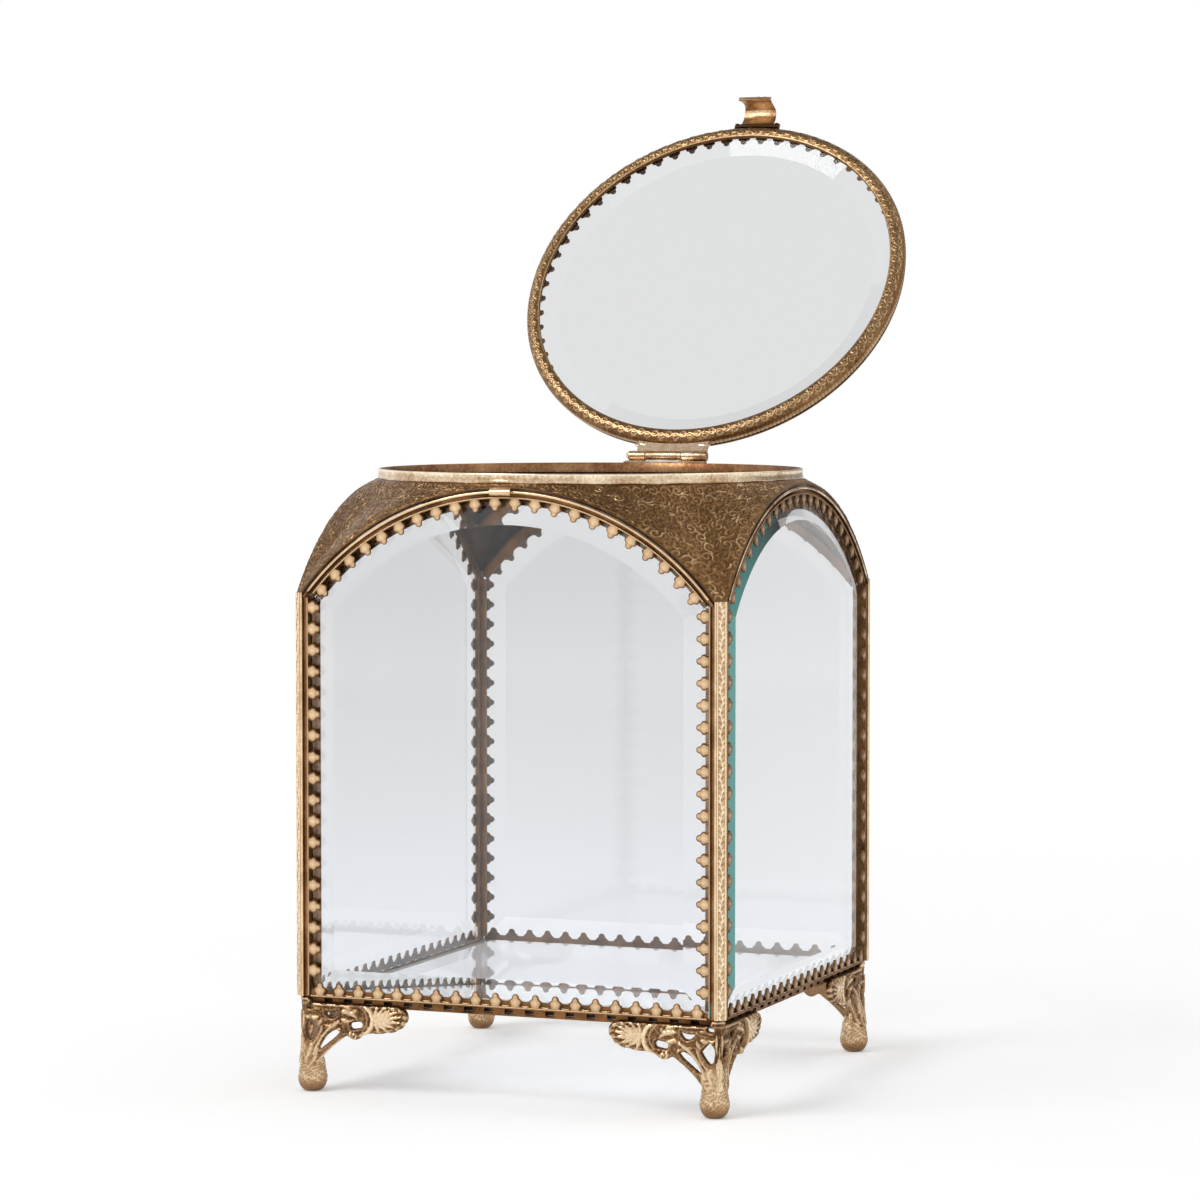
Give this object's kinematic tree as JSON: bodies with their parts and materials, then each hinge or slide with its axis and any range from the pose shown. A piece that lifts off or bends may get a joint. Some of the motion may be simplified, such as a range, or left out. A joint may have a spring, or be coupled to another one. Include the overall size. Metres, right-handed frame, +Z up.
{
  "type": "glass casket box",
  "caption": "Square bevelled-glass casket in a gilt brass frame: arched panes, embossed domed shoulders, a round hinged glass lid with a snap catch, and pierced cabriole feet.",
  "frame": {"origin": "centre of the part's bounding box in plan, on the table plane under the toes, with the lid open as stored. The centre of the square body lies at y = -0.0297 m", "axes": "+Z up, towards the open lid; +X to the right across the front face; -Y out of the front face, the side of the catch bar; the hinge is at +Y"},
  "size_m": [0.1004, 0.1626, 0.2245],
  "materials": {
    "bevelled_glass": "gloss",
    "gilt_strip": "satin",
    "embossed_brass": "satin",
    "plain_brass": "satin",
    "polished_brass": "gloss",
    "cast_brass": "satin"
  },
  "bodies": {
    "casket": {"front_glass": "bevelled_glass", "right_glass": "bevelled_glass", "back_glass": "bevelled_glass", "left_glass": "bevelled_glass", "floor_glass": "bevelled_glass", "post_front_left": "embossed_brass", "post_front_right": "embossed_brass", "post_back_right": "embossed_brass", "post_back_left": "embossed_brass", "inner_angle_front_left": "plain_brass", "inner_angle_front_right": "plain_brass", "inner_angle_back_right": "plain_brass", "inner_angle_back_left": "plain_brass", "arch_frame_front": "gilt_strip", "arch_frame_right": "gilt_strip", "arch_frame_back": "gilt_strip", "arch_frame_left": "gilt_strip", "side_strips_front": "gilt_strip", "side_strips_right": "gilt_strip", "side_strips_back": "gilt_strip", "side_strips_left": "gilt_strip", "sill_strip_front": "gilt_strip", "sill_strip_right": "gilt_strip", "sill_strip_back": "gilt_strip", "sill_strip_left": "gilt_strip", "floor_rail_front": "plain_brass", "floor_rail_right": "plain_brass", "floor_rail_back": "plain_brass", "floor_rail_left": "plain_brass", "spandrel_front_left": "embossed_brass", "spandrel_front_right": "embossed_brass", "spandrel_back_right": "embossed_brass", "spandrel_back_left": "embossed_brass", "collar": "polished_brass", "foot_front_left": "cast_brass", "foot_front_right": "cast_brass", "foot_back_right": "cast_brass", "foot_back_left": "cast_brass", "hinge_base": "polished_brass", "hinge_pin": "polished_brass", "catch_bar": "polished_brass"},
    "lid": {"lid_rim": "embossed_brass", "lid_glass": "bevelled_glass", "lid_tab_ring": "gilt_strip", "lid_hinge_leaf": "polished_brass", "catch_plate": "polished_brass"},
    "catch": {"catch_strap": "polished_brass"}
  },
  "joints": [
    {"name": "lid_hinge", "type": "hinge", "parent": "casket", "child": "lid", "pos_m": [0, 0.02085, 0.1375], "axis": [1, 0, 0], "range_deg": [0, 126]},
    {"name": "catch_flex", "type": "hinge", "parent": "lid", "child": "catch", "pos_m": [0.001, 0.07863, 0.21787], "axis": [-1, 0, 0], "range_deg": [0, 5], "stiffness_Nm_per_rad": 0.01}
  ]
}
